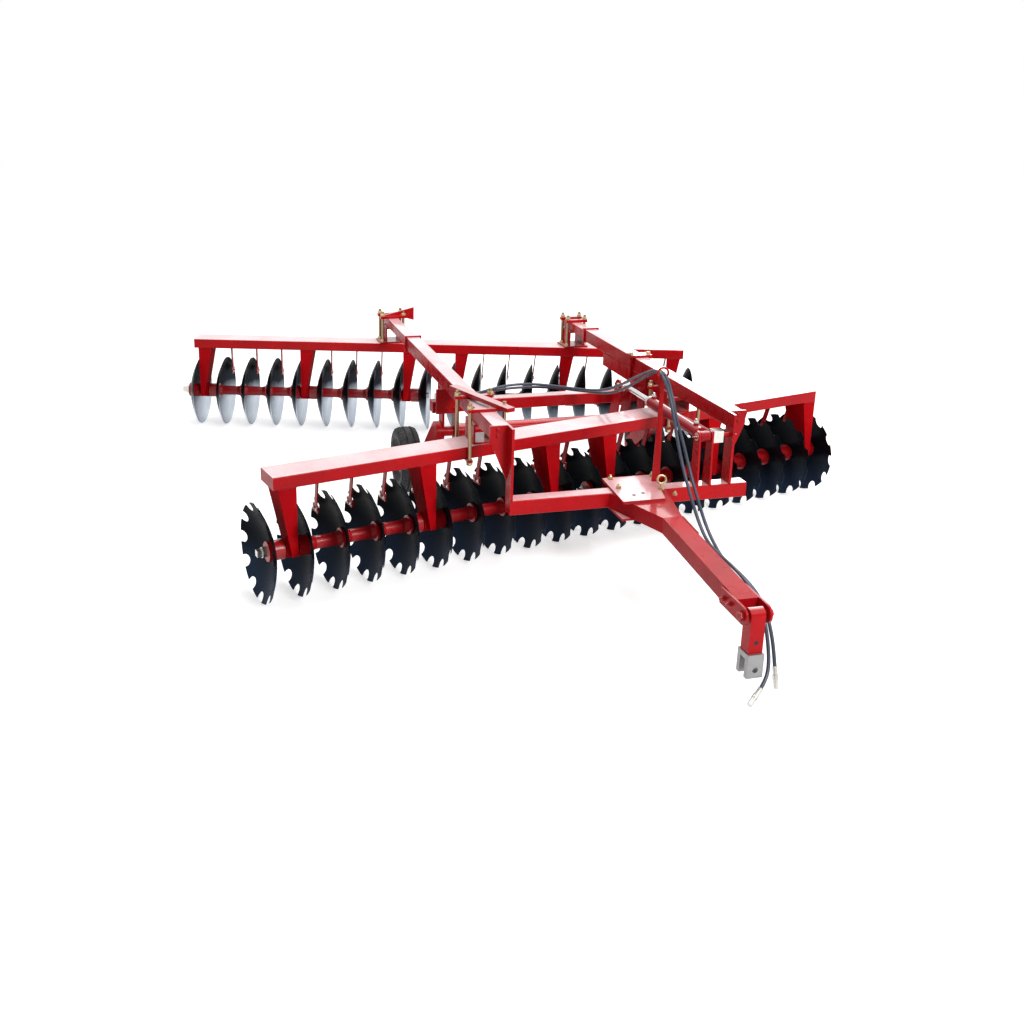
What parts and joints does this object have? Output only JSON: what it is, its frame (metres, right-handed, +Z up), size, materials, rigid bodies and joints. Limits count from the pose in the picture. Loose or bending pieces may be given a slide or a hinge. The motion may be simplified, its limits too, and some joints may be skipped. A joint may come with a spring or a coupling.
{
  "type": "disc harrow",
  "caption": "Trailed offset disc harrow with notched front discs and plain rear discs on a welded frame with transport wheels and a towing tongue.",
  "frame": {"origin": "middle of the bounding box, on the ground that the discs and tyres stand on", "axes": "+Z up, the drawbar points along -Y, +X to the right of somebody who faces the machine from the front"},
  "size_m": [4.7864, 5.8007, 1.335],
  "materials": {
    "frame_paint": "gloss",
    "disc_steel": "gloss",
    "tyre_rubber": "matte",
    "rim_paint": "gloss",
    "hose_rubber": "satin",
    "zinc": "satin",
    "bare_steel": "matte",
    "chrome_rod": "polished",
    "cylinder_paint": "gloss"
  },
  "bodies": {
    "frame": {"clamp_front_left": "frame_paint", "clamp_front_right": "frame_paint", "clamp_rear_left": "frame_paint", "clamp_rear_right": "frame_paint", "coupler_left": "zinc", "coupler_right": "zinc", "cross_tube": "frame_paint", "cross_tube_blocks": "frame_paint", "drawbar": "frame_paint", "drawbar_plates": "frame_paint", "gang_beam_front": "frame_paint", "gang_beam_rear": "frame_paint", "hangers_front_left": "frame_paint", "hangers_front_right": "frame_paint", "hangers_rear_left": "frame_paint", "hangers_rear_right": "frame_paint", "hose_left": "hose_rubber", "hose_ports": "zinc", "hose_right": "hose_rubber", "hose_stand": "frame_paint", "long_beam_left": "frame_paint", "long_beam_right": "frame_paint", "mast": "frame_paint", "portal_post_left": "frame_paint", "portal_post_right": "frame_paint", "portal_tube": "frame_paint", "rear_slide_left": "frame_paint", "rear_slide_right": "frame_paint", "rocker_bracket_left": "frame_paint", "rocker_bracket_right": "frame_paint", "scrapers_front_left": "frame_paint", "scrapers_front_right": "frame_paint", "scrapers_rear_left": "frame_paint", "scrapers_rear_right": "frame_paint", "stay": "zinc", "stay_lug": "frame_paint"},
    "rocker": {"rocker_shaft": "frame_paint", "wheel_arm_left": "frame_paint", "wheel_arm_right": "frame_paint", "crank": "frame_paint"},
    "wheel_left": {"tyre_left": "tyre_rubber", "rim_left": "rim_paint"},
    "wheel_right": {"tyre_right": "tyre_rubber", "rim_right": "rim_paint"},
    "cylinder_barrel": {"cylinder_barrel": "cylinder_paint"},
    "cylinder_rod": {"cylinder_rod": "chrome_rod"},
    "hitch_tongue": {"tongue": "frame_paint", "clevis": "bare_steel"},
    "gang_front_left": {"discs_front_left": "disc_steel", "gang_shaft_front_left": "frame_paint"},
    "gang_front_right": {"discs_front_right": "disc_steel", "gang_shaft_front_right": "frame_paint"},
    "gang_rear_left": {"discs_rear_left": "disc_steel", "gang_shaft_rear_left": "frame_paint"},
    "gang_rear_right": {"discs_rear_right": "disc_steel", "gang_shaft_rear_right": "frame_paint"}
  },
  "joints": [
    {"name": "gang_front_left_spin", "type": "hinge", "parent": "frame", "child": "gang_front_left", "pos_m": [-0.93252, -0.94527, 0.305], "axis": [0.969, 0.247, 0], "continuous": true},
    {"name": "gang_front_right_spin", "type": "hinge", "parent": "frame", "child": "gang_front_right", "pos_m": [1.29622, -0.37717, 0.305], "axis": [0.969, 0.247, 0], "continuous": true},
    {"name": "gang_rear_left_spin", "type": "hinge", "parent": "frame", "child": "gang_rear_left", "pos_m": [-1.31127, 2.27831, 0.305], "axis": [0.9548, -0.2974, 0], "continuous": true},
    {"name": "gang_rear_right_spin", "type": "hinge", "parent": "frame", "child": "gang_rear_right", "pos_m": [0.88468, 1.59434, 0.305], "axis": [0.9548, -0.2974, 0], "continuous": true},
    {"name": "wheel_lift", "type": "hinge", "parent": "frame", "child": "rocker", "pos_m": [0.20455, -0.02091, 0.596], "axis": [-1, 0, 0], "range_deg": [-8, 35]},
    {"name": "wheel_left_spin", "type": "hinge", "parent": "rocker", "child": "wheel_left", "pos_m": [-0.77045, 0.41909, 0.25], "axis": [1, 0, 0], "continuous": true},
    {"name": "wheel_right_spin", "type": "hinge", "parent": "rocker", "child": "wheel_right", "pos_m": [1.17955, 0.41909, 0.25], "axis": [1, 0, 0], "continuous": true},
    {"name": "cylinder_swing", "type": "hinge", "parent": "frame", "child": "cylinder_barrel", "pos_m": [0.74455, -1.35091, 0.89], "axis": [1, 0, 0], "range_deg": [-0.375, 0.24]},
    {"name": "cylinder_stroke", "type": "slide", "parent": "cylinder_barrel", "child": "cylinder_rod", "axis": [0, 1, 0], "range_m": [-0.04352, 0.18365]},
    {"name": "hitch_swing", "type": "hinge", "parent": "frame", "child": "hitch_tongue", "pos_m": [0.32455, -2.80091, 0.44], "axis": [-1, 0, 0], "range_deg": [-10, 95]}
  ],
  "couplings": [
    {"joint": "cylinder_stroke", "follows": "wheel_lift", "m_per_rad": 0.29737},
    {"joint": "cylinder_swing", "follows": "wheel_lift", "ratio": -0.005}
  ]
}
